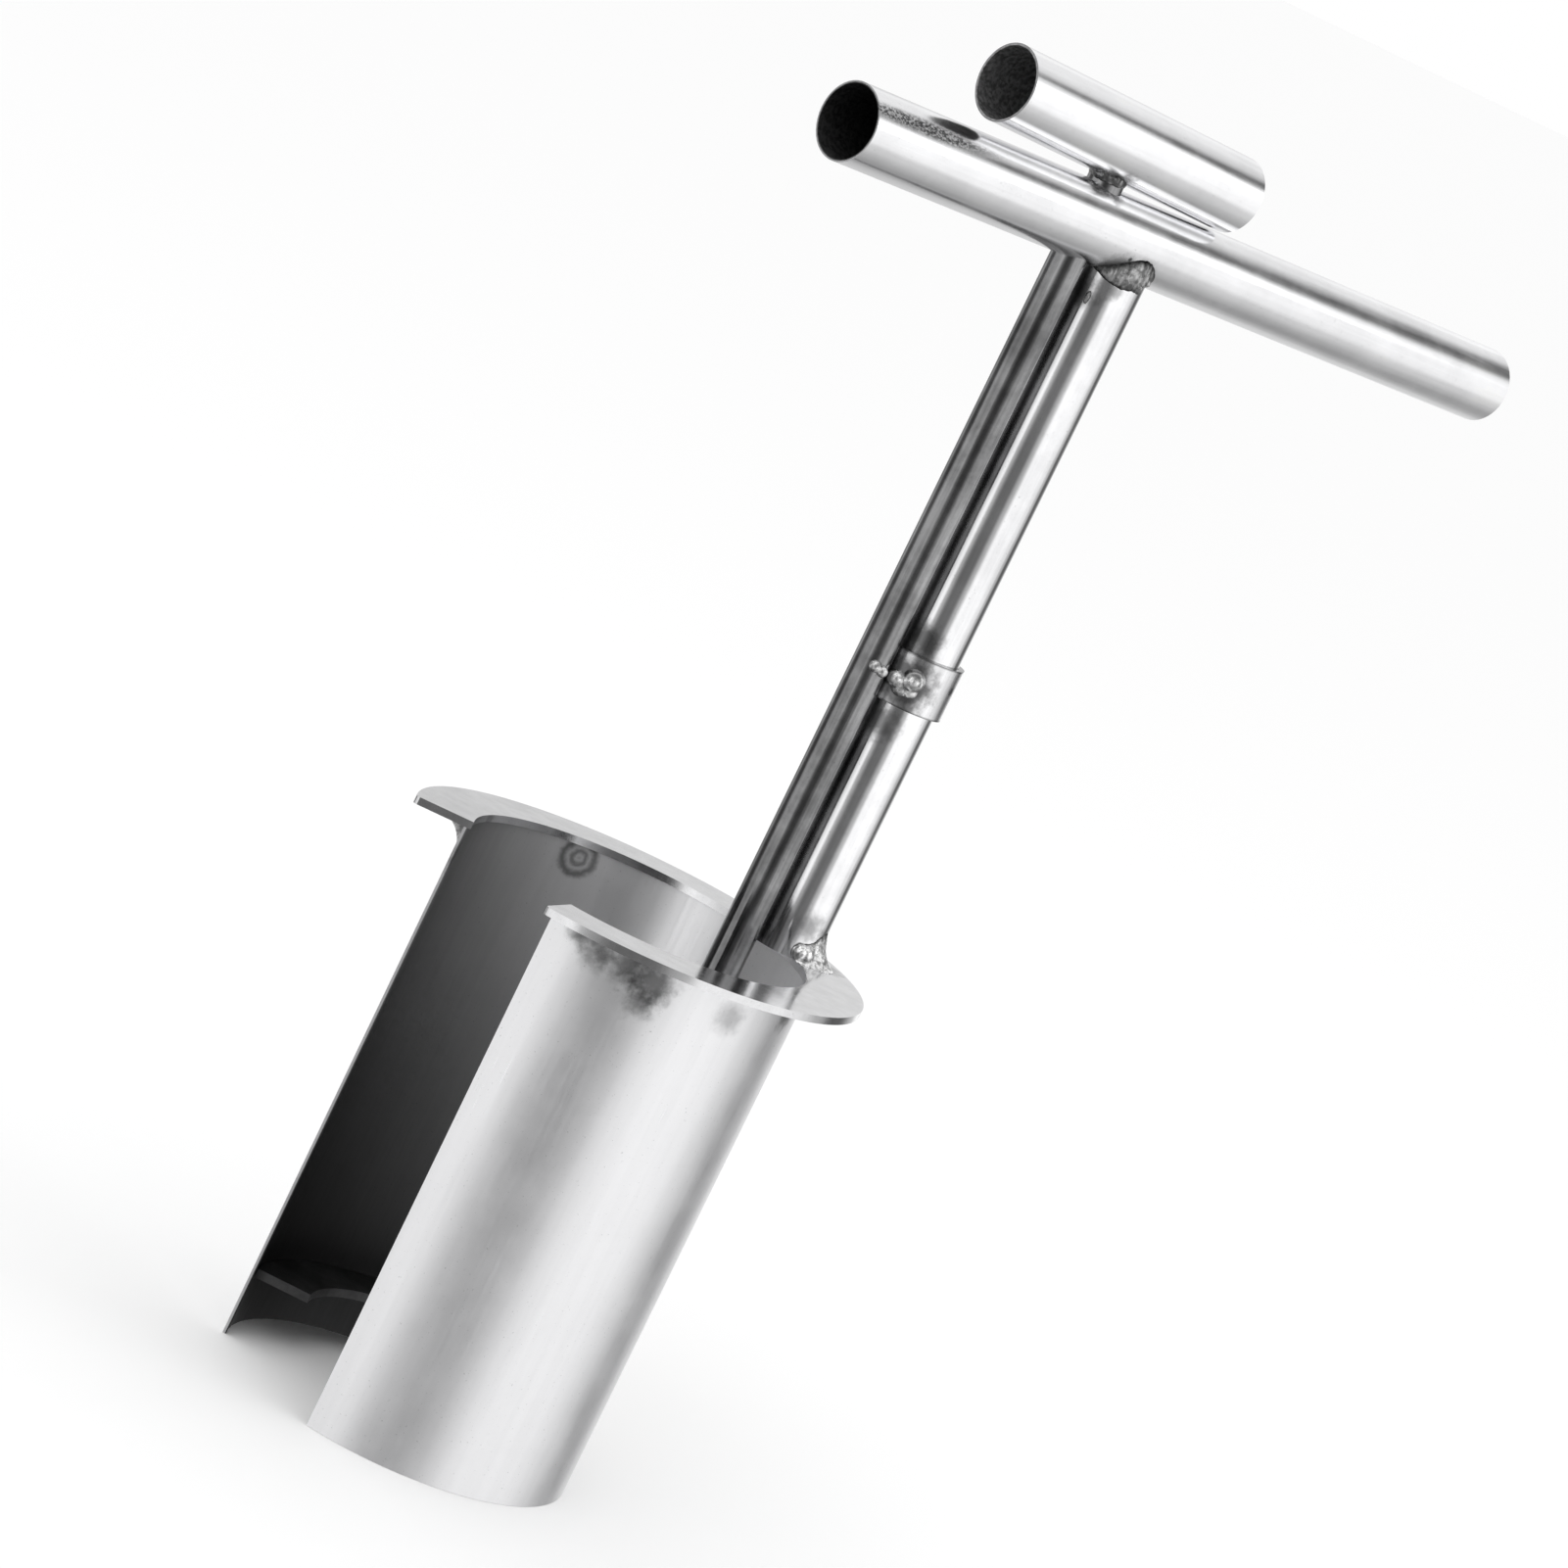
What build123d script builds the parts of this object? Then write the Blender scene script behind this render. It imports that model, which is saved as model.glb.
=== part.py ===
"""Push-in soil corer with a sliding ejector, welded up from thin stainless tube and sheet.

Frame: origin at the centre of the barrel's bottom rim, +Z up the shaft, +X from the slot
towards the shaft tube. Millimetres.
"""
import os
from math import cos, radians, sin

from build123d import *

# Barrel: a rolled sheet, open along a slot that faces -X
BARREL_R = 59.5
BARREL_SHEET = 1.2
BARREL_H = 180.0
SLOT_HALF_ANGLE = 32.0

# Foot flange: a C-shaped ring on the barrel's top rim
FLANGE_R = 77.0
FLANGE_HOLE_R = 57.3
FLANGE_T = 2.5
FLANGE_REAR_END = 148.0
FLANGE_FRONT_END = 215.0
FLANGE_CORNER = 1.5

# Shaft tube, standing on the flange opposite the slot
TUBE_X = 57.2
TUBE_R = 12.0
TUBE_WALL = 1.2

# Crossbar over the shaft tube, turned a little about the shaft
CROSS_TURN = 10.2
CROSS_R = 12.5
CROSS_WALL = 0.8
CROSS_Z = 431.3
CROSS_SHORT_END = 132.4
CROSS_LONG_END = 188.8

# Ejector rod, beside the tube and through the crossbar
ROD_R = 6.0
ROD_OFFSET = 20.2
ROD_CLEARANCE = 0.1

# Pusher: a smaller C-shaped ring inside the barrel, welded to the rod's lower end
PUSHER_R = 58.0
PUSHER_HOLE_R = 39.5
PUSHER_T = 3.0
PUSHER_TOP_Z = 21.8
PUSHER_HALF_ANGLE = 38.5

# Ejector handle, a short length of the crossbar's tube, set slightly crooked on the rod
HANDLE_LENGTH = 110.0
HANDLE_R = CROSS_R
HANDLE_WALL = CROSS_WALL
HANDLE_Z = 458.4
HANDLE_SHIFT = -1.5
HANDLE_TURN = -2.3
HANDLE_DIP = 1.8

# Guide band, a collar round the shaft tube that the rod carries
BAND_T = 1.9
BAND_CLEARANCE = 0.1
BAND_LOW_Z = 269.3
BAND_HIGH_Z = 286.9
BAND_WELD_Z = 278.4

# Weld bead sizes
CROSS_BEAD_R = 4.4
FOOT_BEAD_R = 4.2
FOOT_LUMP_R = 4.0
TACK_BEAD_R = 4.4
HANDLE_BEAD_R = 2.3
PUSHER_BEAD_R = 3.0

# Longer than any cut has to be to pass right through a weld, a wall or the rod
REACH = 60.0

FLANGE_TOP_Z = BARREL_H + FLANGE_T
BAND_R = TUBE_R + BAND_CLEARANCE + BAND_T
CROSS_DIR = Vector(cos(radians(CROSS_TURN)), sin(radians(CROSS_TURN)), 0)
CROSS_SIDE = Vector(-CROSS_DIR.Y, CROSS_DIR.X, 0)
TUBE_AXIS = Vector(TUBE_X, 0, 0)
ROD_AXIS = TUBE_AXIS - CROSS_DIR * ROD_OFFSET
CROSS_CENTRE = TUBE_AXIS + Vector(0, 0, CROSS_Z)

HANDLE_AZIMUTH = radians(CROSS_TURN + HANDLE_TURN)
HANDLE_DIR = Vector(
    cos(HANDLE_AZIMUTH) * cos(radians(HANDLE_DIP)),
    sin(HANDLE_AZIMUTH) * cos(radians(HANDLE_DIP)),
    -sin(radians(HANDLE_DIP)),
)
HANDLE_CENTRE = ROD_AXIS + CROSS_DIR * HANDLE_SHIFT + Vector(0, 0, HANDLE_Z)


def plane_along(point, direction):
    """A sketch plane at a point, facing a direction."""
    return Plane(origin=point, x_dir=direction.cross(Vector(0, 0, 1)), z_dir=direction)


def plane_up(axis, height):
    """A level sketch plane centred on an upright axis."""
    return Plane(origin=(axis.X, axis.Y, height))


def polar(radius, degrees):
    """X and Y at a distance and an angle from the barrel's axis."""
    return (radius * cos(radians(degrees)), radius * sin(radians(degrees)))


def cut_wedge(start, end, reach):
    """Cut the pie slice between two angles from the sketch in hand."""
    middle = (start + end) / 2
    corners = ((0, 0), polar(reach, start), polar(reach * 1.2, middle), polar(reach, end))
    Polygon(*corners, align=None, mode=Mode.SUBTRACT)


def cut_bar(plane, radius, length):
    """Cut a round bar that starts at the plane from the part in hand."""
    with Locations(plane.location):
        Cylinder(radius, length, align=(Align.CENTER, Align.CENTER, Align.MIN), mode=Mode.SUBTRACT)


def cut_crossbar():
    """Cut the crossbar's full outside from the part in hand."""
    cut_bar(plane_along(CROSS_CENTRE - CROSS_DIR * REACH, CROSS_DIR), CROSS_R, 2 * REACH)


def cut_handle():
    """Cut the ejector handle's full outside from the part in hand."""
    cut_bar(plane_along(HANDLE_CENTRE - HANDLE_DIR * REACH, HANDLE_DIR), HANDLE_R, 2 * REACH)


def add_bead(centre, radius):
    """One round weld bead in the part in hand."""
    with Locations(centre):
        Sphere(radius)


def round_axis(axis, radius, degrees, height):
    """A point at an angle from the crossbar's direction round an upright axis."""
    along = CROSS_DIR * (radius * cos(radians(degrees)))
    across = CROSS_SIDE * (radius * sin(radians(degrees)))
    return axis + along + across + Vector(0, 0, height)


# ---- fixed frame -------------------------------------------------------------------------

with BuildPart() as barrel_shell:
    with BuildSketch(Plane.XY):
        Circle(BARREL_R)
        Circle(BARREL_R - BARREL_SHEET, mode=Mode.SUBTRACT)
        cut_wedge(180 - SLOT_HALF_ANGLE, 180 + SLOT_HALF_ANGLE, 2 * BARREL_R)
    extrude(amount=BARREL_H)

with BuildPart() as foot_flange:
    with BuildSketch(Plane.XY.offset(BARREL_H)):
        Circle(FLANGE_R)
        Circle(FLANGE_HOLE_R, mode=Mode.SUBTRACT)
        cut_wedge(FLANGE_REAR_END, FLANGE_FRONT_END, 2 * FLANGE_R)
    extrude(amount=FLANGE_T)
    tip_edges = foot_flange.edges().filter_by(Axis.Z).sort_by(SortBy.DISTANCE)[-2:]
    fillet(tip_edges, FLANGE_CORNER)

with BuildPart() as shaft_tube:
    with BuildSketch(plane_up(TUBE_AXIS, FLANGE_TOP_Z)):
        Circle(TUBE_R)
        Circle(TUBE_R - TUBE_WALL, mode=Mode.SUBTRACT)
    extrude(amount=CROSS_Z - FLANGE_TOP_Z)
    cut_crossbar()

with BuildPart() as crossbar:
    with BuildSketch(plane_along(CROSS_CENTRE - CROSS_DIR * CROSS_SHORT_END, CROSS_DIR)):
        Circle(CROSS_R)
        Circle(CROSS_R - CROSS_WALL, mode=Mode.SUBTRACT)
    extrude(amount=CROSS_SHORT_END + CROSS_LONG_END)
    cut_bar(plane_up(ROD_AXIS, CROSS_Z - REACH), ROD_R + ROD_CLEARANCE, 2 * REACH)

# Weld round the tube's saddle joint, kept clear of the rod
with BuildPart() as crossbar_weld:
    for side in (-1, 1):
        for step in range(11):
            turn = 22 + 12.8 * step
            rise = 3.0 * sin(radians(turn)) ** 2
            height = CROSS_Z - CROSS_R - 1.0 + rise
            add_bead(round_axis(TUBE_AXIS, TUBE_R - 1.8, side * turn, height), CROSS_BEAD_R)
    cut_crossbar()
    cut_bar(plane_up(TUBE_AXIS, CROSS_Z - REACH), TUBE_R, REACH)

# Weld between the tube's lower end and the flange, round the outer side
with BuildPart() as flange_shaft_weld:
    for turn in range(-105, 106, 15):
        add_bead(round_axis(TUBE_AXIS, TUBE_R - 0.4, turn, FLANGE_TOP_Z + 1.2), FOOT_BEAD_R)
    for turn, height in ((-95, 5.0), (-75, 6.0), (-58, 4.6)):
        add_bead(round_axis(TUBE_AXIS, TUBE_R - 0.8, turn, FLANGE_TOP_Z + height), FOOT_LUMP_R)
    cut_bar(plane_up(TUBE_AXIS, BARREL_H), TUBE_R, REACH)
    cut_bar(Plane.XY, FLANGE_R + REACH, FLANGE_TOP_Z)

# Tacks under the flange, on the barrel's outside
TACK_RUNS = ((139, 146), (77, 83), (-58, -52), (-133, -113))
with BuildPart() as flange_tack_welds:
    for first, last in TACK_RUNS:
        steps = max(2, round((last - first) / 4) + 1)
        for index in range(steps):
            turn = first + (last - first) * index / (steps - 1)
            x, y = polar(BARREL_R + 0.4, turn)
            add_bead((x, y, BARREL_H - 0.4), TACK_BEAD_R)
    cut_bar(Plane.XY, BARREL_R, BARREL_H)
    cut_bar(Plane.XY.offset(BARREL_H), FLANGE_R, REACH)

# ---- ejector -----------------------------------------------------------------------------

with BuildPart() as pusher_ring:
    with BuildSketch(Plane.XY.offset(PUSHER_TOP_Z - PUSHER_T)):
        Circle(PUSHER_R)
        Circle(PUSHER_HOLE_R, mode=Mode.SUBTRACT)
        cut_wedge(180 - PUSHER_HALF_ANGLE, 180 + PUSHER_HALF_ANGLE, 2 * PUSHER_R)
    extrude(amount=PUSHER_T)

with BuildPart() as ejector_rod:
    with BuildSketch(plane_up(ROD_AXIS, PUSHER_TOP_Z)):
        Circle(ROD_R)
    extrude(amount=HANDLE_Z - PUSHER_TOP_Z)
    cut_handle()

with BuildPart() as ejector_handle:
    with BuildSketch(plane_along(HANDLE_CENTRE - HANDLE_DIR * (HANDLE_LENGTH / 2), HANDLE_DIR)):
        Circle(HANDLE_R)
        Circle(HANDLE_R - HANDLE_WALL, mode=Mode.SUBTRACT)
    extrude(amount=HANDLE_LENGTH)

# Beads in the narrow gap between the handle and the crossbar, one run on each side of the rod
with BuildPart() as ejector_handle_weld:
    for side in (-1, 1):
        for turn in (55, 72, 90, 108, 125):
            add_bead(round_axis(ROD_AXIS, ROD_R + 0.6, side * turn, HANDLE_Z - 11.8), HANDLE_BEAD_R)
    cut_handle()
    cut_bar(plane_up(ROD_AXIS, CROSS_Z), ROD_R, REACH)

with BuildPart() as guide_band:
    with BuildSketch(plane_up(TUBE_AXIS, BAND_LOW_Z)):
        Circle(BAND_R)
        Circle(TUBE_R + BAND_CLEARANCE, mode=Mode.SUBTRACT)
    extrude(amount=BAND_HIGH_Z - BAND_LOW_Z)

# Three separate beads that hold the band to the rod: a blob on the band, a bead that fills the
# groove between band and rod, and a lump on the rod. None reaches the narrow gap behind the groove.
with BuildPart() as guide_band_weld:
    add_bead(round_axis(TUBE_AXIS, BAND_R - 0.3, -131, BAND_WELD_Z + 0.8), 3.2)
    add_bead(round_axis(TUBE_AXIS, BAND_R + 3.0, -154, BAND_WELD_Z), 3.6)
    add_bead(round_axis(ROD_AXIS, ROD_R + 0.4, -108, BAND_WELD_Z + 0.3), 2.4)
    cut_bar(plane_up(TUBE_AXIS, BAND_LOW_Z), BAND_R, BAND_HIGH_Z - BAND_LOW_Z)
    cut_bar(plane_up(ROD_AXIS, BAND_LOW_Z), ROD_R, BAND_HIGH_Z - BAND_LOW_Z)

# Fillet round the rod's foot on the pusher
with BuildPart() as pusher_weld:
    for turn in range(-64, 65, 16):
        add_bead(round_axis(ROD_AXIS, ROD_R - 0.2, turn, PUSHER_TOP_Z + 0.4), PUSHER_BEAD_R)
    cut_bar(plane_up(ROD_AXIS, 0), ROD_R, REACH)
    cut_bar(Plane.XY, BARREL_R, PUSHER_TOP_Z)

# ---- export ------------------------------------------------------------------------------

PIECES = {
    "barrel_shell": barrel_shell,
    "foot_flange": foot_flange,
    "flange_tack_welds": flange_tack_welds,
    "shaft_tube": shaft_tube,
    "flange_shaft_weld": flange_shaft_weld,
    "crossbar": crossbar,
    "crossbar_weld": crossbar_weld,
    "ejector_rod": ejector_rod,
    "ejector_handle": ejector_handle,
    "ejector_handle_weld": ejector_handle_weld,
    "guide_band": guide_band,
    "guide_band_weld": guide_band_weld,
    "pusher_ring": pusher_ring,
    "pusher_weld": pusher_weld,
}

os.makedirs("parts", exist_ok=True)
for name, piece in PIECES.items():
    piece.part.label = name
    export_step(piece.part, f"parts/{name}.step")
    box = piece.part.bounding_box()
    print(f"{name:22s} solids {len(piece.part.solids())} volume {piece.part.volume:10.1f}", end=" ")
    print(f"z {box.min.Z:.1f}..{box.max.Z:.1f}")
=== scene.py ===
from math import atan2, cos, pi, radians, sin

import bmesh
import bpy
from mathutils import Matrix, Vector


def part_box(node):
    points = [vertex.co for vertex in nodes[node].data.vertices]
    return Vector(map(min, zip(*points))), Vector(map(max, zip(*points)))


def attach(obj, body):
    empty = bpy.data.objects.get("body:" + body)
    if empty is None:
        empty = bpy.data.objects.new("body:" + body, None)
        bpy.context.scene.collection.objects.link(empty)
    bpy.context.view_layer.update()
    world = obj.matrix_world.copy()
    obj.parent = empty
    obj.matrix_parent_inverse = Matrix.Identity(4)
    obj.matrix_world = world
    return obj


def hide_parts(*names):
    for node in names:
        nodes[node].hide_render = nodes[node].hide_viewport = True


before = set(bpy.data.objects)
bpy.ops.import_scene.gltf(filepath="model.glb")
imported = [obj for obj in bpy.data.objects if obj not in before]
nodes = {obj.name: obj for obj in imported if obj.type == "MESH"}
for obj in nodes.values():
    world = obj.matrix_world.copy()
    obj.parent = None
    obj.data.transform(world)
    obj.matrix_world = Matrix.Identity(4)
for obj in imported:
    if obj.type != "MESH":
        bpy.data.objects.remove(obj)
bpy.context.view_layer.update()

MM = 0.001
UP = Vector((0, 0, 1))
scene = bpy.context.scene

# ---- where things are, from the frame ------------------------------------------------------


def middle(node):
    """The centre of a node's box."""
    low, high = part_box(node)
    return (low + high) / 2


tube_low, tube_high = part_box("shaft_tube")
rod_low, rod_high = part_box("ejector_rod")
barrel_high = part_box("barrel_shell")[1]
band_low, band_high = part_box("guide_band")
bar_low, bar_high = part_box("crossbar")
handle_low, handle_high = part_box("ejector_handle")
flange_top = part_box("foot_flange")[1].z
pusher_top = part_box("pusher_ring")[1].z

TUBE_AXIS = Vector((middle("shaft_tube").x, middle("shaft_tube").y, 0))
TUBE_R = (tube_high.x - tube_low.x) / 2
ROD_AXIS = Vector((middle("ejector_rod").x, middle("ejector_rod").y, 0))
ROD_R = (rod_high.x - rod_low.x) / 2
BARREL_R = barrel_high.x
BARREL_SHEET = 1.2 * MM
BARREL_RIM = barrel_high.z
BAND_R = (band_high.x - band_low.x) / 2
BAND_MIDDLE = (band_low.z + band_high.z) / 2
BAND_HALF = (band_high.z - band_low.z) / 2
CROSS_Z = (bar_low.z + bar_high.z) / 2
CROSS_R = (bar_high.z - bar_low.z) / 2
BAR_FOOT = CROSS_Z - CROSS_R
BAR_TOP = CROSS_Z + CROSS_R
CROSS_DIR = (TUBE_AXIS - ROD_AXIS).normalized()
CROSS_SIDE = Vector((-CROSS_DIR.y, CROSS_DIR.x, 0))
CROSS_TURN = atan2(CROSS_DIR.y, CROSS_DIR.x)
CROSS_CENTRE = TUBE_AXIS + UP * CROSS_Z
HANDLE_TURN = CROSS_TURN - radians(2.3)
HANDLE_DIP = radians(1.8)
HANDLE_CENTRE = (handle_low + handle_high) / 2
HANDLE_DIR = Vector(
    (cos(HANDLE_TURN) * cos(HANDLE_DIP), sin(HANDLE_TURN) * cos(HANDLE_DIP), -sin(HANDLE_DIP))
)


def round_axis(axis, radius, degrees, height):
    """A point at an angle from the crossbar's direction round an upright axis."""
    along = CROSS_DIR * (radius * cos(radians(degrees)))
    across = CROSS_SIDE * (radius * sin(radians(degrees)))
    return axis + along + across + Vector((0, 0, height))


def on_barrel(radius, degrees, height):
    """A point at an angle from +X round the barrel's axis."""
    return Vector((radius * cos(radians(degrees)), radius * sin(radians(degrees)), height))


# ---- camera --------------------------------------------------------------------------------

CAMERA_PLACE = Vector((-1.06094, -1.44865, 0.52991))
CAMERA_AZIMUTH = 36.99
CAMERA_ELEVATION = 9.32
CAMERA_ROLL = -25.98
CAMERA_LENS = 134.85
LIGHT_AIM = Vector((0.03, 0, 0.23))


def add_camera():
    """The photograph's viewing angle: a long lens, rolled so that the shaft leans right."""
    azimuth, elevation, roll = map(radians, (CAMERA_AZIMUTH, CAMERA_ELEVATION, CAMERA_ROLL))
    forward = Vector((sin(azimuth) * cos(elevation), cos(azimuth) * cos(elevation), -sin(elevation)))
    level_right = Vector((cos(azimuth), -sin(azimuth), 0))
    level_down = forward.cross(level_right)
    right = cos(roll) * level_right + sin(roll) * level_down
    down = forward.cross(right)
    camera = bpy.data.objects.new("camera", bpy.data.cameras.new("camera"))
    camera.data.sensor_width = 36.0
    camera.data.lens = CAMERA_LENS
    camera.data.clip_start = 0.05
    camera.data.clip_end = 200.0
    turn = Matrix((right, -down, -forward)).transposed().to_4x4()
    camera.matrix_world = Matrix.Translation(CAMERA_PLACE) @ turn
    scene.collection.objects.link(camera)
    scene.camera = camera


add_camera()

# ---- node helpers --------------------------------------------------------------------------


class Nodes:
    """Short calls for building one node tree."""

    def __init__(self, tree):
        self.tree = tree

    def add(self, kind, **sockets):
        """A shader node, with its inputs set or linked by name."""
        node = self.tree.nodes.new("ShaderNode" + kind)
        for name, value in sockets.items():
            self.put(node.inputs[name.replace("_", " ")], value)
        return node

    def put(self, socket, value):
        """Link a socket to the input, or set the input's own value."""
        if isinstance(value, bpy.types.NodeSocket):
            self.tree.links.new(value, socket)
        else:
            socket.default_value = value

    def math(self, operation, *values, clamp=False):
        """A sum, product or other step on one or two values."""
        node = self.tree.nodes.new("ShaderNodeMath")
        node.operation = operation
        node.use_clamp = clamp
        for socket, value in zip(node.inputs, values):
            self.put(socket, value)
        return node.outputs[0]

    def scaled(self, vector, scale, turn=0.0):
        """Coordinates turned about Z, then stretched."""
        node = self.tree.nodes.new("ShaderNodeMapping")
        node.vector_type = "POINT"
        self.put(node.inputs["Vector"], vector)
        node.inputs["Rotation"].default_value = (0, 0, turn)
        squeezed = self.tree.nodes.new("ShaderNodeVectorMath")
        squeezed.operation = "MULTIPLY"
        self.put(squeezed.inputs[0], node.outputs[0])
        squeezed.inputs[1].default_value = scale
        return squeezed.outputs[0]

    def noise(self, vector, scale, detail=4.0, roughness=0.6):
        """Fractal noise, with scale in waves per metre."""
        node = self.tree.nodes.new("ShaderNodeTexNoise")
        self.put(node.inputs["Vector"], vector)
        node.inputs["Scale"].default_value = scale
        node.inputs["Detail"].default_value = detail
        node.inputs["Roughness"].default_value = roughness
        return node.outputs["Fac"]

    def span(self, value, low, high, to_low=0.0, to_high=1.0, smooth=True):
        """A value stretched from one range to another, and kept inside it."""
        node = self.tree.nodes.new("ShaderNodeMapRange")
        node.interpolation_type = "SMOOTHSTEP" if smooth else "LINEAR"
        self.put(node.inputs["Value"], value)
        limits = {"From Min": low, "From Max": high, "To Min": to_low, "To Max": to_high}
        for name, number in limits.items():
            node.inputs[name].default_value = number
        return node.outputs[0]

    def ramp(self, value, stops):
        """Brightness along a value, from (position, brightness) stops."""
        node = self.tree.nodes.new("ShaderNodeValToRGB")
        self.put(node.inputs[0], value)
        elements = node.color_ramp.elements
        while len(elements) < len(stops):
            elements.new(0.5)
        for element, (position, level) in zip(elements, stops):
            element.position = position
            element.color = (level, level, level, 1)
        node.color_ramp.interpolation = "EASE"
        return node.outputs[0]


# ---- studio --------------------------------------------------------------------------------

# What bright metal mirrors round the horizon: azimuth and brightness of soft panels and gaps
STUDIO_ROUND = (
    (-180, 0.80), (-168, 0.95), (-150, 1.15), (-143, 0.45), (-128, 0.15), (-108, 0.16), (-94, 0.5),
    (-82, 1.1), (-44, 1.1), (-24, 0.90), (-10, 0.50), (1, 0.12), (12, 0.14), (24, 0.55), (36, 1.1),
    (60, 0.62), (84, 0.35), (102, 0.95), (122, 0.20), (140, 0.15), (158, 0.95), (180, 0.80),
)
# Brightness by elevation: table below, panels level, then an overhead screen
STUDIO_UP = (
    (-90, 0.30), (-60, 0.38), (-42, 0.52), (-24, 0.68), (-12, 1.0), (12, 1.05), (24, 0.95),
    (36, 0.82), (50, 0.88), (70, 0.95), (90, 0.95),
)
# The dark gap under the overhead screen: where it starts and ends, how dark, and where it closes
GAP_START = (22, 33)
GAP_END = (37, 44)
GAP_DEPTH = 0.86
GAP_CLOSES = (5, 25)
# Degrees above or below the horizon over which the panels' pattern fades
PANELS_FADE = (14, 30)
# The table below hands on part of that pattern: how much, and over which elevations it fades in
TABLE_SHEEN = 0.40
TABLE_FADES_IN = (-24, -10)
# The even brightness of the room, which everything but a mirror-like ray sees
ROOM_LIGHT = 1.0


def add_world():
    """A soft studio: even pale light, with panels that show only in the metal's reflections."""
    world = bpy.data.worlds.new("studio")
    world.use_nodes = True
    tree = world.node_tree
    tree.nodes.clear()
    n = Nodes(tree)
    direction = n.add("TexCoord").outputs["Generated"]
    parts = n.add("SeparateXYZ", Vector=direction).outputs
    azimuth = n.math("ARCTAN2", parts["Y"], parts["X"])
    elevation = n.math("ARCSINE", parts["Z"])
    round_stops = [((degrees + 180) / 360, level) for degrees, level in STUDIO_ROUND]
    up_stops = [((degrees + 90) / 180, level) for degrees, level in STUDIO_UP]
    around = n.ramp(n.span(azimuth, -pi, pi, smooth=False), round_stops)
    upward = n.ramp(n.span(elevation, -pi / 2, pi / 2, smooth=False), up_stops)
    gap = n.math(
        "MULTIPLY",
        n.span(elevation, *map(radians, GAP_START)),
        n.span(elevation, *map(radians, GAP_END), 1.0, 0.0),
    )
    gap = n.math("MULTIPLY", gap, n.span(azimuth, *map(radians, GAP_CLOSES), GAP_DEPTH, 0.0))
    upward = n.math("MULTIPLY", upward, n.math("SUBTRACT", 1.0, gap))
    levelness = n.span(n.math("ABSOLUTE", elevation), *map(radians, PANELS_FADE), 1.0, 0.0)
    from_table = n.span(elevation, *map(radians, TABLE_FADES_IN), TABLE_SHEEN, 0.0)
    levelness = n.math("MAXIMUM", levelness, from_table)
    panels = n.math("ADD", n.math("MULTIPLY", around, levelness), n.math("SUBTRACT", 1.0, levelness))
    seen_in_metal = n.math("MULTIPLY", panels, upward)
    glossy = n.add("LightPath").outputs["Is Glossy Ray"]
    mix = n.tree.nodes.new("ShaderNodeMix")
    n.put(mix.inputs["Factor"], glossy)
    n.put(mix.inputs["A"], ROOM_LIGHT)
    n.put(mix.inputs["B"], seen_in_metal)
    background = n.add("Background", Color=mix.outputs["Result"])
    output = n.tree.nodes.new("ShaderNodeOutputWorld")
    tree.links.new(background.outputs[0], output.inputs[0])
    scene.world = world


def add_floor():
    """A pale floor under the corer, with no other use."""
    mesh = bpy.data.meshes.new("floor")
    half = 60.0
    corners = [(-half, -half, 0), (half, -half, 0), (half, half, 0), (-half, half, 0)]
    mesh.from_pydata(corners, [], [(0, 1, 2, 3)])
    floor = bpy.data.objects.new("floor", mesh)
    floor.location.z = -0.1 * MM
    floor.visible_glossy = False
    paint = bpy.data.materials.new("floor_paint")
    paint.use_nodes = True
    surface = paint.node_tree.nodes["Principled BSDF"]
    surface.inputs["Base Color"].default_value = (0.97, 0.97, 0.97, 1)
    surface.inputs["Roughness"].default_value = 0.9
    surface.inputs["Specular IOR Level"].default_value = 0.0
    mesh.materials.append(paint)
    scene.collection.objects.link(floor)


def add_softbox(name, place, size, power):
    """A square area light that faces the middle of the corer."""
    light = bpy.data.lights.new(name, "AREA")
    light.shape = "SQUARE"
    light.size = size
    light.energy = power
    lamp = bpy.data.objects.new(name, light)
    lamp.location = place
    aim = LIGHT_AIM - Vector(place)
    lamp.rotation_euler = aim.to_track_quat("-Z", "Y").to_euler()
    scene.collection.objects.link(lamp)


add_world()
add_floor()
add_softbox("softbox_left", (-1.6, -0.9, 2.2), 1.4, 7.0)
add_softbox("softbox_right", (1.8, -1.4, 1.6), 1.2, 3.0)

# ---- materials -----------------------------------------------------------------------------


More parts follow.
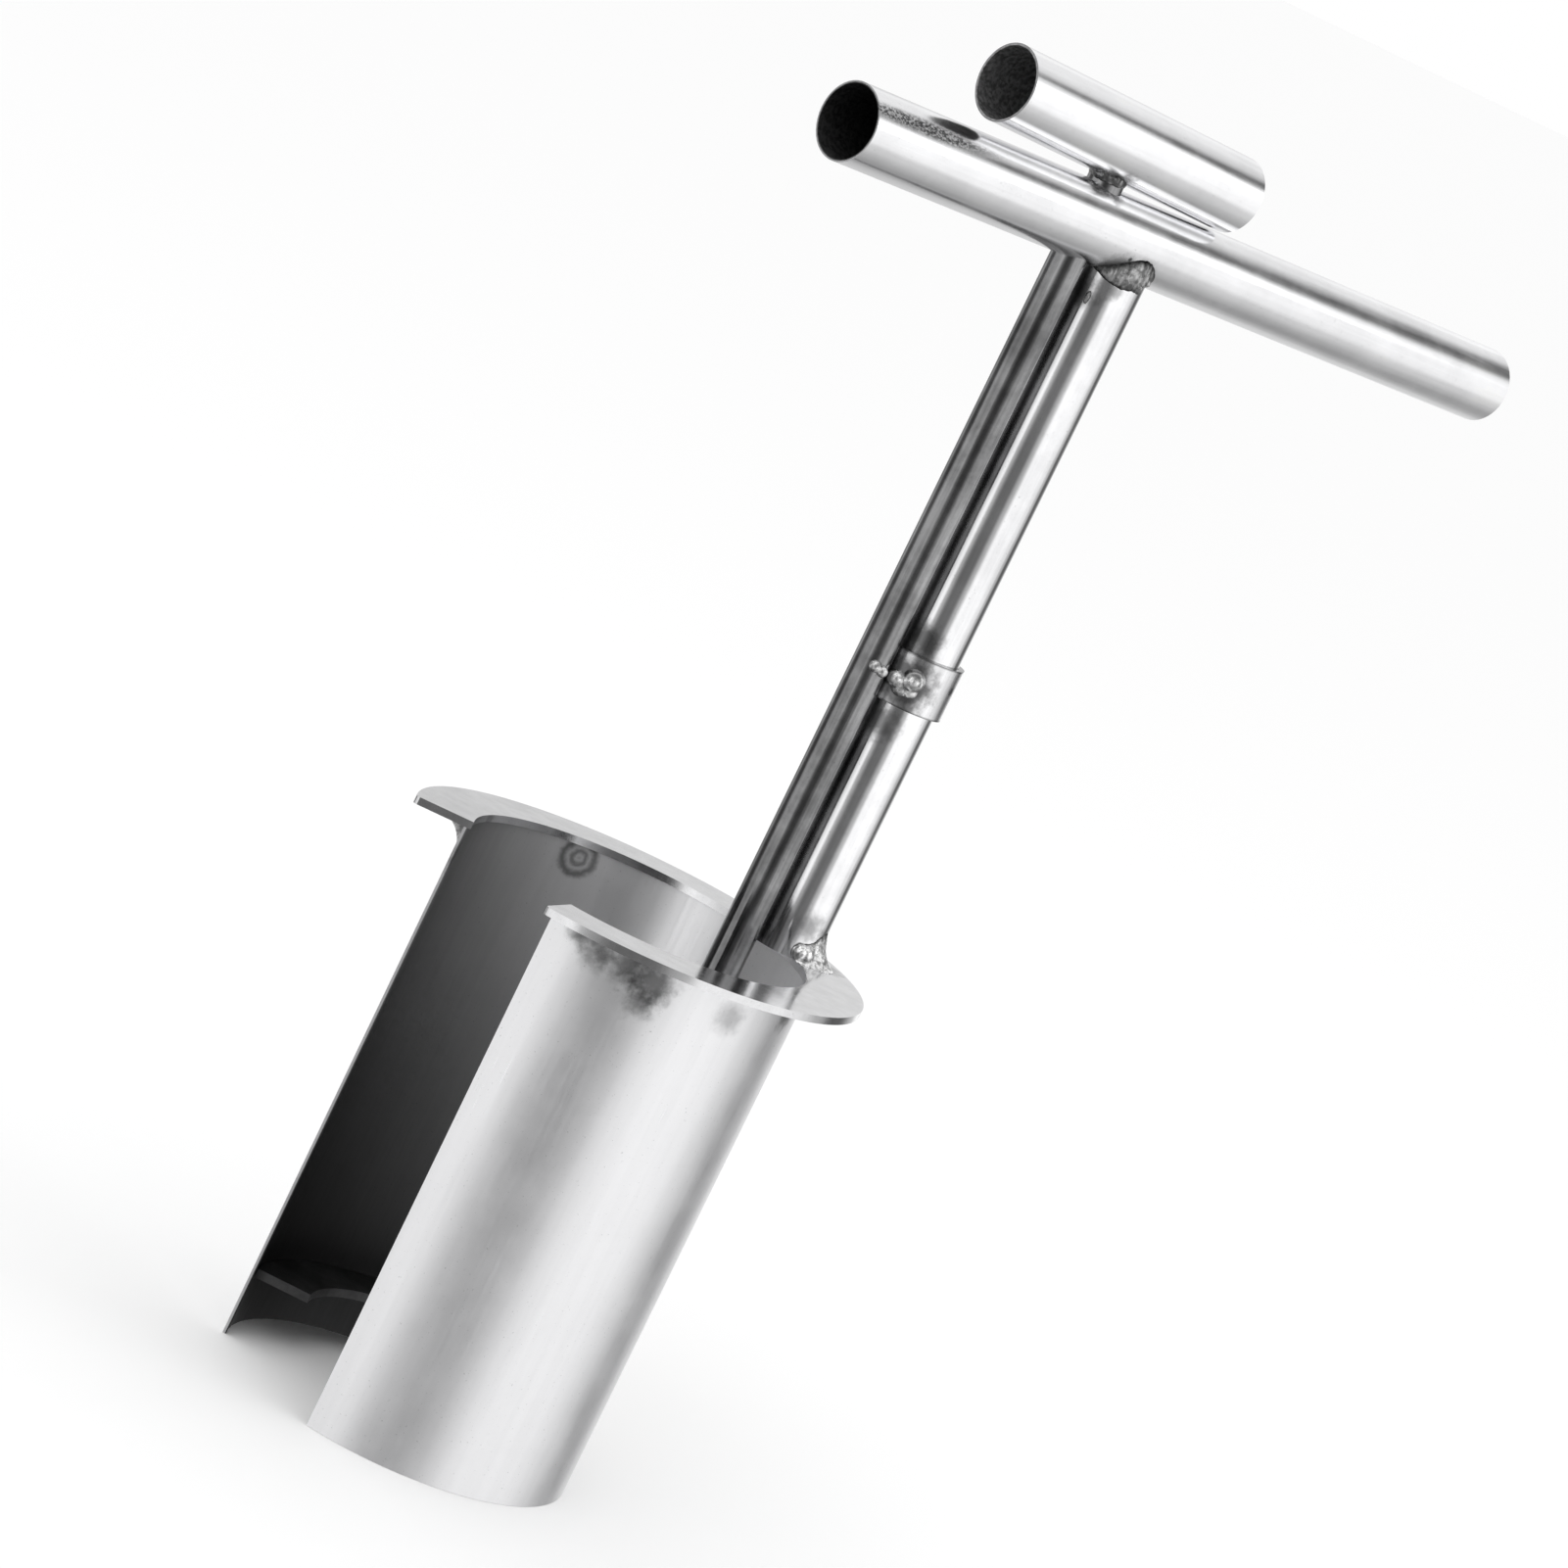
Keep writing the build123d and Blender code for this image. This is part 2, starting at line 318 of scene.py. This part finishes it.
def steel(name, tone, roughness, stretch=(1, 1, 1), turn=0.0, mottle=0.12, relief=0.06, film=0.0,
          spots=(), extra=None):
    """Bare steel: mottled tone, drawing marks along the stock, scuffs, and heat-tinted spots.

    stretch squeezes the grain's coordinates and turn lines them up with the stock. spots are
    (centre, inner radius, outer radius, tone) patches that a weld's heat has darkened, and
    extra is a function that adds what only this piece has, and returns tone and dullness. film
    is how much of a pale matt film lies on the metal.
    """
    material = bpy.data.materials.new(name)
    material.use_nodes = True
    tree = material.node_tree
    n = Nodes(tree)
    surface = tree.nodes["Principled BSDF"]
    place = n.add("TexCoord").outputs["Object"]
    grain_place = n.scaled(place, stretch, turn)

    cloud = n.noise(place, 38.0, 5.0, 0.65)
    grain = n.noise(grain_place, 900.0, 6.0, 0.7)
    streak = n.noise(grain_place, 160.0, 4.0, 0.6)
    dust = n.noise(place, 1500.0, 2.0, 0.5)

    level = n.math("MULTIPLY", n.span(cloud, 0.3, 0.7, 1.0 - mottle, 1.0 + mottle * 0.5), tone)
    level = n.math("MULTIPLY", level, n.span(streak, 0.3, 0.7, 1.0 - mottle, 1.0 + mottle * 0.4))
    level = n.math("MULTIPLY", level, n.span(dust, 0.68, 0.76, 1.0, 0.72))
    matt = 0.0
    if extra is not None:
        level, matt = extra(n, place, level)
    dull = None
    wander = n.noise(place, 260.0, 3.0, 0.6)
    for centre, inner, outer, tint in spots:
        ragged = n.math("MULTIPLY", n.math("SUBTRACT", wander, 0.5), outer * 0.9)
        clean = n.span(n.math("ADD", distance_to(n, place, centre), ragged), inner, outer)
        level = n.math("MULTIPLY", level, n.span(clean, 0.0, 1.0, tint, 1.0, smooth=False))
        dull = clean if dull is None else n.math("MULTIPLY", dull, clean)

    colour = n.add("CombineColor", Red=level, Green=level, Blue=n.math("MULTIPLY", level, 1.012))
    rough = n.math("ADD", n.span(grain, 0.3, 0.7, -0.03, 0.04), roughness)
    rough = n.math("ADD", rough, n.span(cloud, 0.35, 0.7, -0.02, 0.04))
    if dull is not None:
        rough = n.math("ADD", rough, n.span(dull, 0.0, 1.0, 0.14, 0.0, smooth=False))
    rough = n.math("ADD", rough, n.math("MULTIPLY", matt, 0.40))
    height = n.math("ADD", n.math("MULTIPLY", grain, 0.5), n.math("MULTIPLY", streak, 0.9))
    height = n.math("ADD", height, n.math("MULTIPLY", cloud, 1.6))
    bump = n.add("Bump", Height=height)
    bump.inputs["Strength"].default_value = relief
    bump.inputs["Distance"].default_value = 0.4 * MM

    surface.inputs["Metallic"].default_value = 1.0 - film
    n.put(surface.inputs["Base Color"], colour.outputs[0])
    n.put(surface.inputs["Roughness"], rough)
    n.put(surface.inputs["Normal"], bump.outputs[0])
    return material


def weld_metal(name, tone, rough=(0.40, 0.20), skins=()):
    """Weld metal: bright where it froze smooth, dark with heat tint in its hollows.

    skins are the (point, direction, radius, fade) of round bars that the weld runs out on, where a
    dark outline of heat tint follows its edge and fades over a thickness of weld.
    """
    material = bpy.data.materials.new(name)
    material.use_nodes = True
    tree = material.node_tree
    n = Nodes(tree)
    surface = tree.nodes["Principled BSDF"]
    place = n.add("TexCoord").outputs["Object"]
    patches = n.noise(place, 420.0, 4.0, 0.6)
    fine = n.noise(place, 1800.0, 4.0, 0.65)
    hollows = n.add("NewGeometry").outputs["Pointiness"]
    level = n.span(patches, 0.36, 0.60, tone * 0.40, tone * 1.1)
    level = n.math("MULTIPLY", level, n.span(hollows, 0.42, 0.53, 0.25, 1.1))
    for point, direction, radius, fade in skins:
        proud = n.math("SUBTRACT", from_line(n, place, point, direction), radius)
        level = n.math("MULTIPLY", level, n.span(proud, 0.1 * MM, fade, 0.18, 1.0))
    colour = n.add("CombineColor", Red=level, Green=level, Blue=level)
    bump = n.add("Bump", Height=n.math("ADD", fine, n.math("MULTIPLY", patches, 1.5)))
    bump.inputs["Strength"].default_value = 0.22
    bump.inputs["Distance"].default_value = 0.3 * MM
    surface.inputs["Metallic"].default_value = 1.0
    n.put(surface.inputs["Base Color"], colour.outputs[0])
    n.put(surface.inputs["Roughness"], n.span(patches, 0.35, 0.65, *rough))
    n.put(surface.inputs["Normal"], bump.outputs[0])
    return material


def distance_to(n, place, centre):
    """How far each point is from a centre."""
    gap = n.tree.nodes.new("ShaderNodeVectorMath")
    gap.operation = "DISTANCE"
    n.put(gap.inputs[0], place)
    gap.inputs[1].default_value = centre
    return gap.outputs["Value"]


def from_line(n, place, point, direction):
    """How far each point is from a straight line."""
    offset = n.tree.nodes.new("ShaderNodeVectorMath")
    offset.operation = "SUBTRACT"
    n.put(offset.inputs[0], place)
    offset.inputs[1].default_value = point
    across = n.tree.nodes.new("ShaderNodeVectorMath")
    across.operation = "CROSS_PRODUCT"
    n.put(across.inputs[0], offset.outputs[0])
    across.inputs[1].default_value = direction
    return distance_to(n, across.outputs[0], (0, 0, 0))


def barrel_painted_shade_and_rings(n, place, level):
    """The barrel's inner face is dull, with painted shade that makes it darker towards the bottom and
    towards the slot, and painted light that makes it paler at the top and near the shaft. It also has
    the rings that a tack weld outside has left on it."""
    parts = n.add("SeparateXYZ", Vector=place).outputs
    across = from_line(n, place, Vector((0, 0, 0)), UP)
    outside = n.span(across, BARREL_R - 0.8 * BARREL_SHEET, BARREL_R - 0.5 * BARREL_SHEET)
    # Painted shade inside the barrel: darker towards the bottom and the slot, with painted light near
    # the shaft
    bore = n.span(parts["Z"], 0.005, 0.185, 0.10, 0.80)
    near_slot = n.span(parts["X"], -42 * MM, 8 * MM, 0.25, 0.82, smooth=False)
    near_shaft = n.span(parts["X"], 8 * MM, 34 * MM, 1.0, 2.0)
    bore = n.math("MULTIPLY", bore, n.math("MULTIPLY", near_slot, near_shaft))
    bore = n.math("MINIMUM", bore, 1.0)
    ragged = n.span(n.noise(place, 420.0, 3.0, 0.6), 0.3, 0.7, -0.45 * MM, 0.45 * MM, smooth=False)
    from_tack = distance_to(n, place, on_barrel(BARREL_R - BARREL_SHEET, *INNER_TACK))
    from_tack = n.math("ADD", from_tack, ragged)
    for ring, width, depth in HEAT_RINGS:
        off_ring = n.math("ABSOLUTE", n.math("SUBTRACT", from_tack, ring))
        bore = n.math("MULTIPLY", bore, n.span(off_ring, 0.0, width, depth, 1.0))
    shade = n.math("ADD", n.math("MULTIPLY", outside, n.math("SUBTRACT", 1.0, bore)), bore)
    return n.math("MULTIPLY", level, shade), n.math("SUBTRACT", 1.0, shade)


def paint_bore_shade(n, place, level, centre, direction, tone):
    """A handle tube is dull inside, and painted shade darkens its bore."""
    from_axis = from_line(n, place, centre, direction)
    inside = n.span(from_axis, CROSS_R - 0.6 * MM, CROSS_R - 0.3 * MM, 1.0, 0.0)
    # Painted shade in the bore, patchy round the given tone
    patchy = n.span(n.noise(place, 700.0, 3.0, 0.6), 0.35, 0.65, tone * 0.6, tone * 1.4)
    painted = n.math("MULTIPLY", inside, n.math("SUBTRACT", 1.0, patchy))
    return n.math("MULTIPLY", level, n.math("SUBTRACT", 1.0, painted)), inside


def shade_handle_bore(n, place, level):
    """Painted shade in the small handle's bore."""
    return paint_bore_shade(n, place, level, HANDLE_CENTRE, HANDLE_DIR, HANDLE_BORE_SHADE)


def rod_groove_shade(n, place, level):
    """The shaft tube is darker and duller in its groove with the rod: painted shade, and a painted
    reflection of the dark rod.
    """
    from_rod = from_line(n, place, ROD_AXIS, UP)
    clean = n.span(from_rod, 8.6 * MM, 12.8 * MM)
    # Painted shade and reflection beside the rod, darkest nearest to it
    level = n.math("MULTIPLY", level, n.span(clean, 0.0, 1.0, 0.42, 1.0))
    return level, n.math("SUBTRACT", 0.4, clean, clamp=True)


def band_rims(n, place, level):
    """The guide band's cut edges are dark."""
    height = n.add("SeparateXYZ", Vector=place).outputs["Z"]
    off_middle = n.math("ABSOLUTE", n.math("SUBTRACT", height, BAND_MIDDLE))
    rim = n.span(off_middle, BAND_HALF - 0.8 * MM, BAND_HALF - 0.1 * MM, 1.0, 0.35)
    return n.math("MULTIPLY", level, rim), 0.0


def crossbar_bore_shade_and_scuffs(n, place, level):
    """Painted shade in the crossbar's bore, fine dark scuffs along the top of its shorter arm, and a
    pit.
    """
    level, inside = paint_bore_shade(n, place, level, CROSS_CENTRE, CROSS_DIR, CROSS_BORE_SHADE)
    speckle = n.noise(n.scaled(place, (0.6, 1, 1), -CROSS_TURN), 1500.0, 4.0, 0.8)
    near = distance_to(n, n.scaled(place, (SCUFF_SQUEEZE, 1, 1), -CROSS_TURN), SCUFF_CENTRE)
    band = n.span(near, 1.4 * MM, 3.6 * MM, 1.0, 0.0)
    mask = n.math("MULTIPLY", band, n.span(speckle, 0.42, 0.54, 0.30, 1.0))
    level = n.math("MULTIPLY", level, n.span(mask, 0.0, 1.0, 1.0, 0.10, smooth=False))
    from_pit = distance_to(n, place, PIT_CENTRE)
    level = n.math("MULTIPLY", level, n.span(from_pit, 0.4 * MM, 1.0 * MM, 0.2, 1.0))
    return level, n.math("MAXIMUM", inside, mask)


# How bright the painted shade leaves the dull bores, beside bright steel
HANDLE_BORE_SHADE = 0.42
CROSS_BORE_SHADE = 0.13
# Angle and height of the tack that shows through the sheet, and its rings: radius, width, tone
INNER_TACK = (78.0, BARREL_RIM - 4.2 * MM)
HEAT_RINGS = ((5.5 * MM, 2.4 * MM, 0.36), (2.3 * MM, 1.7 * MM, 0.45), (0.0, 1.4 * MM, 0.75))
UPRIGHT = (1, 1, 0.03)
ALONG_BAR = (0.03, 1, 1)


def on_crossbar(along, degrees):
    """A point on the crossbar's skin: along from the shaft, and degrees up from its front side."""
    level_part = CROSS_DIR * along - CROSS_SIDE * (CROSS_R * cos(radians(degrees)))
    return TUBE_AXIS + level_part + Vector((0, 0, CROSS_Z + CROSS_R * sin(radians(degrees))))


# The scuffs' centre, in coordinates turned and squeezed along the crossbar
SCUFF_SQUEEZE = 0.085
SCUFF_CENTRE = Matrix.Rotation(-CROSS_TURN, 3, "Z") @ on_crossbar(-112 * MM, 39)
SCUFF_CENTRE.x *= SCUFF_SQUEEZE
PIT_CENTRE = on_crossbar(-7 * MM, -24)


def tints(axis, radius, base, rows):
    """Heat-tinted spots on an upright bar. Each row is an angle, a height above base, an inner and
    an outer radius, in millimetres, and a tone."""
    return [
        (round_axis(axis, radius, turn, base + height * MM), inner * MM, outer * MM, tone)
        for turn, height, inner, outer, tone in rows
    ]


# Under the flange: angle, drop below the barrel's rim, inner and outer radius in mm, and tone
BARREL_TINTS = (
    (-137, 3.5, 0.5, 6.0, 0.30),
    (-131, 6.0, 0.5, 8.0, 0.28),
    (-121, 5.5, 1.0, 9.0, 0.35),
    (-113, 7.5, 2.0, 11.0, 0.28),
    (-114, 15.0, 0.5, 8.0, 0.42),
    (-56, 7.0, 1.0, 7.0, 0.30),
    (-84, 10.0, 0.5, 8.0, 0.66),
    (145, 10.0, 1.0, 8.0, 0.40),
)
barrel_spots = [
    (on_barrel(BARREL_R, turn, BARREL_RIM - drop * MM), inner * MM, outer * MM, tone)
    for turn, drop, inner, outer, tone in BARREL_TINTS
]
tube_spots = (
    tints(TUBE_AXIS, TUBE_R, BAR_FOOT, [(-168, -6.8, 2, 9, 0.25), (-120, -3.8, 1, 4, 0.50)])
    + tints(TUBE_AXIS, TUBE_R, flange_top, [(-110, 11.5, 1, 7, 0.45), (-70, 7.5, 1, 6, 0.50)])
    + tints(TUBE_AXIS, TUBE_R, BAND_MIDDLE, [(-148, 12.9, 2, 9, 0.20), (-152, -15.1, 2, 9, 0.30)])
)
bar_spots = (
    tints(TUBE_AXIS, TUBE_R, BAR_FOOT, [(-140, 2.7, 3, 9, 0.40), (-85, 3.2, 3, 8, 0.45)])
    + tints(ROD_AXIS, ROD_R + 1.0 * MM, BAR_TOP, [(-90, -1.3, 1, 4.5, 0.25)])
)
band_spots = tints(
    TUBE_AXIS, BAND_R, BAND_MIDDLE, [(-142, -0.6, 5, 12.5, 0.22), (-69, 1.9, 0.6, 2.2, 0.20)]
)
sheet = steel(
    "sheet_steel", 0.92, 0.32, UPRIGHT, mottle=0.035, relief=0.015, film=0.14,
    spots=barrel_spots, extra=barrel_painted_shade_and_rings,
)
plate = steel(
    "plate_steel", 0.78, 0.12, mottle=0.07, relief=0.03,
    spots=tints(TUBE_AXIS, TUBE_R + 3 * MM, flange_top, [(-50, 0, 3, 9, 0.60)]),
)
dark_plate = steel("pusher_steel", 0.11, 0.42, mottle=0.25, relief=0.10)
tube = steel(
    "tube_steel", 0.97, 0.10, UPRIGHT, mottle=0.12, relief=0.03, spots=tube_spots, extra=rod_groove_shade
)
bar = steel(
    "crossbar_steel", 0.98, 0.16, ALONG_BAR, turn=-CROSS_TURN, mottle=0.07, relief=0.03,
    spots=bar_spots, extra=crossbar_bore_shade_and_scuffs,
)
grip = steel(
    "handle_steel", 0.98, 0.15, ALONG_BAR, turn=-HANDLE_TURN, mottle=0.06, relief=0.03,
    spots=tints(ROD_AXIS, ROD_R, HANDLE_CENTRE.z, [(-90, -10.9, 1.5, 6, 0.25)]), extra=shade_handle_bore,
)
rod = steel("rod_steel", 0.36, 0.16, UPRIGHT, mottle=0.45, relief=0.08)
collar = steel(
    "band_steel", 0.95, 0.19, UPRIGHT, mottle=0.18, relief=0.10, spots=band_spots, extra=band_rims
)
TUBE_SKIN = (TUBE_AXIS, UP, TUBE_R, 0.9 * MM)
BAR_SKIN = (CROSS_CENTRE, CROSS_DIR, CROSS_R, 2.2 * MM)
weld = weld_metal("weld_metal", 0.85)
foot_weld = weld_metal("foot_weld_metal", 0.90, skins=[TUBE_SKIN])
leaf_weld = weld_metal("leaf_weld_metal", 0.46, (0.50, 0.34), [TUBE_SKIN, BAR_SKIN])
# The dark weld's low tone is painted shadow for the weld tucked in the gap under the small handle;
# the pusher weld shares it
dark_weld = weld_metal("dark_weld_metal", 0.24)

FINISHES = {
    "barrel_shell": sheet,
    "foot_flange": plate,
    "shaft_tube": tube,
    "crossbar": bar,
    "ejector_rod": rod,
    "ejector_handle": grip,
    "guide_band": collar,
    "pusher_ring": dark_plate,
}
for name, finish in FINISHES.items():
    mesh = nodes[name].data
    mesh.materials.clear()
    mesh.materials.append(finish)

# ---- welds ---------------------------------------------------------------------------------

WELD_VOXEL = 0.28 * MM
FILLET_STEPS = 8
FILLET_ROOT = 0.5 * MM


def add_lump(shape, centre, radius, tall=1.0):
    """One round lump, taller or flatter than a ball."""
    size = Matrix.Diagonal((radius, radius, radius * tall, 1))
    place = Matrix.Translation(centre) @ size
    bmesh.ops.create_icosphere(shape, subdivisions=3, radius=1.0, matrix=place)


def add_fillet(shape, sections):
    """A closed run of weld in a corner. Each section is (corner, leg one, leg two), and its face
    between the ends of the two legs is hollow."""
    rings = []
    for corner, leg_one, leg_two in sections:
        back = corner - (leg_one.normalized() + leg_two.normalized()) * FILLET_ROOT
        middle_point = corner + (leg_one + leg_two) * 0.28
        ring = [back]
        for step in range(FILLET_STEPS + 1):
            t = step / FILLET_STEPS
            start, end = corner + leg_one, corner + leg_two
            ring.append(start * (1 - t) ** 2 + middle_point * (2 * t * (1 - t)) + end * t**2)
        rings.append([shape.verts.new(point) for point in ring])
    size = len(rings[0])
    for first, second in zip(rings, rings[1:]):
        for i in range(size):
            j = (i + 1) % size
            shape.faces.new((first[i], first[j], second[j], second[i]))
    shape.faces.new(rings[0][::-1])
    shape.faces.new(rings[-1])


def push_out(mesh, axis, radius):
    """Move the points that lie inside an upright bar straight out to its skin."""
    for vertex in mesh.vertices:
        offset = vertex.co - axis
        offset.z = 0
        if offset.length < radius:
            vertex.co += offset.normalized() * (radius - offset.length)


def add_weld(name, fillets, lumps, body, node, bumps=0.4, finish=weld, clear_of=None):
    """One uneven weld: fillets and round lumps merged into one rough skin.

    clear_of is the (axis, radius) of an upright bar on another body, which the weld stays out of.
    """
    shape = bmesh.new()
    for sections in fillets:
        add_fillet(shape, sections)
    for lump in lumps:
        add_lump(shape, *lump)
    bmesh.ops.recalc_face_normals(shape, faces=shape.faces)
    raw = bpy.data.meshes.new(name)
    shape.to_mesh(raw)
    shape.free()
    piece = bpy.data.objects.new(name, raw)
    scene.collection.objects.link(piece)

    merge = piece.modifiers.new("merge", "REMESH")
    merge.mode = "VOXEL"
    merge.voxel_size = WELD_VOXEL
    ease = piece.modifiers.new("ease", "SMOOTH")
    ease.factor = 0.6
    ease.iterations = 6
    for size, strength in ((3.0, bumps), (1.2, bumps * 0.4)):
        clouds = bpy.data.textures.new(f"{name}_{size}", "CLOUDS")
        clouds.noise_scale = size * MM
        rough = piece.modifiers.new(f"rough_{size}", "DISPLACE")
        rough.texture = clouds
        rough.texture_coords = "LOCAL"
        rough.strength = strength * MM
        rough.mid_level = 0.5
    graph = bpy.context.evaluated_depsgraph_get()
    piece.data = bpy.data.meshes.new_from_object(piece.evaluated_get(graph))
    piece.modifiers.clear()
    if clear_of is not None:
        push_out(piece.data, *clear_of)
    piece.data.name = name
    for face in piece.data.polygons:
        face.use_smooth = True
    piece.data.materials.append(finish)
    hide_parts(node)
    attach(piece, body)


def lumps_round(axis, radius, turns, height, size, tall=1.0):
    """Lumps round an upright axis, of slightly uneven size."""
    lumps = []
    for index, turn in enumerate(turns):
        wobble = 1.0 + 0.14 * sin(index * 2.4)
        lumps.append((round_axis(axis, radius, turn, height), size * wobble, tall))
    return lumps


def outward(degrees):
    """The level direction at an angle from the crossbar's direction."""
    return round_axis(Vector((0, 0, 0)), 1.0, degrees, 0)


# Tube to crossbar: a leaf-shaped patch in front and behind that covers the tips of the tube's end
LEAF_START, LEAF_END, LEAF_COUNT = -160, -52, 26
leaf = []
for side in (1, -1):
    for index in range(LEAF_COUNT):
        part = index / (LEAF_COUNT - 1)
        turn = LEAF_START + (LEAF_END - LEAF_START) * part
        half_height = (1.3 + 4.7 * sin(pi * part * 0.92)) * MM
        height = BAR_FOOT + (1.4 + 3.2 * sin(part * pi / 2) ** 1.5) * MM
        lump_size = (2.0 + 0.15 * sin(index * 2.4)) * MM
        centre = round_axis(TUBE_AXIS, TUBE_R - 0.8 * MM, side * turn, height)
        leaf.append((centre, lump_size, half_height / lump_size))
leaf += [
    (round_axis(TUBE_AXIS, TUBE_R + 0.6 * MM, -68, BAR_FOOT + 2.6 * MM), 1.1 * MM, 1.1),
    (round_axis(TUBE_AXIS, TUBE_R + 0.7 * MM, -84, BAR_FOOT - 0.2 * MM), 1.2 * MM, 1.3),
    (round_axis(TUBE_AXIS, TUBE_R + 0.1 * MM, -152, BAR_FOOT - 8.8 * MM), 0.9 * MM, 2.6),
]
add_weld("crossbar_weld_bead", [], leaf, "corer_frame", "crossbar_weld", 0.45, leaf_weld)

# Tube to flange: a hollow fillet, tallest at the front, low behind
FOOT_FRONT, FOOT_REACH = -66, 56
foot = []
for turn in range(-112, 113, 7):
    front = max(0.0, 1.0 - abs(turn - FOOT_FRONT) / FOOT_REACH)
    corner = round_axis(TUBE_AXIS, TUBE_R - 0.2 * MM, turn, flange_top - 0.1 * MM)
    rise = UP * (3.0 + 9.0 * front) * MM
    foot.append((corner, outward(turn) * (2.8 + 5.4 * front) * MM, rise))
foot_lumps = lumps_round(
    TUBE_AXIS, TUBE_R + 0.5 * MM, (-108, -97), flange_top + 2.6 * MM, 2.6 * MM, 1.2
)
add_weld(
    "flange_shaft_weld_bead", [foot], foot_lumps, "corer_frame", "flange_shaft_weld", 0.75, foot_weld,
)

# Band to rod: a round blob with a crater, a low smear below it, and two beads on the rod
BLOB_TURN = -134
BLOB_CENTRE = round_axis(TUBE_AXIS, BAND_R + 0.2 * MM, BLOB_TURN, BAND_MIDDLE + 1.1 * MM)
blob_out = outward(BLOB_TURN)
blob_side = blob_out.cross(UP)
CRATER_R = 2.3 * MM
CRATER_BEADS = 18
band_lumps = [
    (BLOB_CENTRE - blob_out * 1.0 * MM, 3.9 * MM),
    (BLOB_CENTRE + blob_out * 2.0 * MM, 1.0 * MM),
    (round_axis(TUBE_AXIS, BAND_R + 0.9 * MM, -155, BAND_MIDDLE - 0.5 * MM), 3.2 * MM, 0.9),
    (round_axis(TUBE_AXIS, BAND_R - 1.6 * MM, -146, BAND_MIDDLE - 2.9 * MM), 3.4 * MM, 0.9),
    (round_axis(TUBE_AXIS, BAND_R - 1.9 * MM, BLOB_TURN, BAND_MIDDLE - 2.5 * MM), 3.4 * MM, 0.9),
    (round_axis(ROD_AXIS, ROD_R + 0.2 * MM, -93, BAND_MIDDLE + 0.1 * MM), 2.0 * MM),
    (round_axis(ROD_AXIS, ROD_R + 0.2 * MM, -121, BAND_MIDDLE + 0.9 * MM), 2.1 * MM),
]
for step in range(CRATER_BEADS):
    turn = 2 * pi * step / CRATER_BEADS
    rim = blob_side * (CRATER_R * cos(turn)) + UP * (CRATER_R * sin(turn))
    band_lumps.append((BLOB_CENTRE + rim + blob_out * 1.4 * MM, 1.0 * MM))
add_weld(
    "guide_band_weld_bead", [], band_lumps, "ejector", "guide_band_weld", 0.12,
    clear_of=(TUBE_AXIS, TUBE_R + 0.05 * MM),
)

# Rod to small handle: a collar low in the gap, whose dark tone is painted shadow
COLLAR_LUMPS = 40
around = [360 * index / COLLAR_LUMPS for index in range(COLLAR_LUMPS)]
collar_lumps = [
    (round_axis(ROD_AXIS, ROD_R - 0.9 * MM, turn, BAR_TOP + 2.6 * MM), 1.3 * MM, 1.5)
    for turn in around
]
collar_lumps += lumps_round(
    ROD_AXIS, ROD_R - 0.6 * MM, range(-178, -96, 9), BAR_TOP + 2.5 * MM, 1.8 * MM
)
collar_lumps.append(
    (round_axis(ROD_AXIS, ROD_R + 0.9 * MM, -112, BAR_TOP + 3.0 * MM), 1.2 * MM, 1.0)
)
add_weld(
    "ejector_handle_weld_bead", [], collar_lumps, "ejector", "ejector_handle_weld", 0.12, dark_weld,
)

# Rod to pusher
pusher_run = []
for turn in range(-84, 85, 12):
    corner = round_axis(ROD_AXIS, ROD_R - 0.1 * MM, turn, pusher_top - 0.1 * MM)
    pusher_run.append((corner, outward(turn) * 2.2 * MM, UP * 2.6 * MM))
add_weld("pusher_weld_bead", [pusher_run], [], "ejector", "pusher_weld", 0.4, dark_weld)

# Tacks in the corner under the flange. The one by the slot's rear edge is a large hollow fillet.
TACK_RUNS = ((138, 147.4, 5.0, 7.0), (75, 84, 2.2, 2.6), (-59, -51, 2.2, 2.8), (-134, -112, 1.6, 2.0))
tacks = []
for first, last, leg_out, leg_down in TACK_RUNS:
    steps = max(2, round((last - first) / 2))
    run = []
    for index in range(steps + 1):
        turn = first + (last - first) * index / steps
        away = on_barrel(1.0, turn, 0)
        corner = on_barrel(BARREL_R - 0.2 * MM, turn, BARREL_RIM + 0.1 * MM)
        grow = 0.75 + 0.25 * index / steps
        run.append((corner, away * leg_out * grow * MM, UP * -leg_down * grow * MM))
    tacks.append(run)
add_weld("flange_tack_beads", tacks, [], "corer_frame", "flange_tack_welds", 0.35)

# ---- finish --------------------------------------------------------------------------------

for node in FINISHES:
    faces = nodes[node].data.polygons
    faces.foreach_set("use_smooth", [True] * len(faces))

scene.view_settings.view_transform = "Standard"
